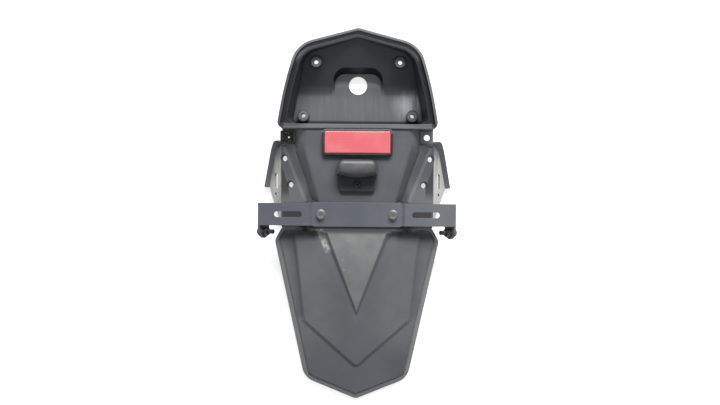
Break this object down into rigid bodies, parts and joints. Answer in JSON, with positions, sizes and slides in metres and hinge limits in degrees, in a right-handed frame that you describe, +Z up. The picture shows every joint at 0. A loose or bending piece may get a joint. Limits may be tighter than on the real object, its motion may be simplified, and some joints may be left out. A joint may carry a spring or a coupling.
{
  "type": "motorcycle rear fender",
  "caption": "Moulded motorcycle rear fender with an empty tail-lamp bucket, red reflector, plate lamp, bolted number-plate bracket and a pointed splash flap.",
  "frame": {"origin": "middle of the bounding box seen from above, on the plane the fender rests on", "axes": "+Z up out of the rear face as it lies, +Y towards the tail-lamp bucket, +X to the right in the picture"},
  "size_m": [0.259, 0.487, 0.07],
  "materials": {
    "fender_plastic": "moulded, scuffed and dusty",
    "red_lens": "glossy prismatic",
    "black_plastic": "satin moulded",
    "zinc": "zinc plated, dulled",
    "seal_rubber": "matt",
    "clear_window": "clear, dusty",
    "bulb_glass": "clear",
    "bracket_paint": "worn satin paint",
    "rusty_spring": "dirty, rust-stained"
  },
  "bodies": {
    "root": {"fender_body": "fender_plastic", "reflector_lens": "red_lens", "reflector_holder": "black_plastic", "reflector_stud": "zinc", "reflector_washer": "zinc", "reflector_nut": "zinc", "plate_lamp_housing": "black_plastic", "plate_lamp_gasket": "seal_rubber", "plate_lamp_lens": "clear_window", "plate_lamp_socket": "black_plastic", "plate_lamp_bulb": "bulb_glass", "plate_lamp_screw": "zinc", "plate_lamp_nut": "zinc", "plate_bracket": "bracket_paint", "bracket_bolts": "zinc", "bracket_washers": "zinc", "bracket_nuts": "zinc", "tab_bolts": "zinc", "tab_nuts": "zinc", "ear_clip": "rusty_spring"}
  },
  "joints": []
}
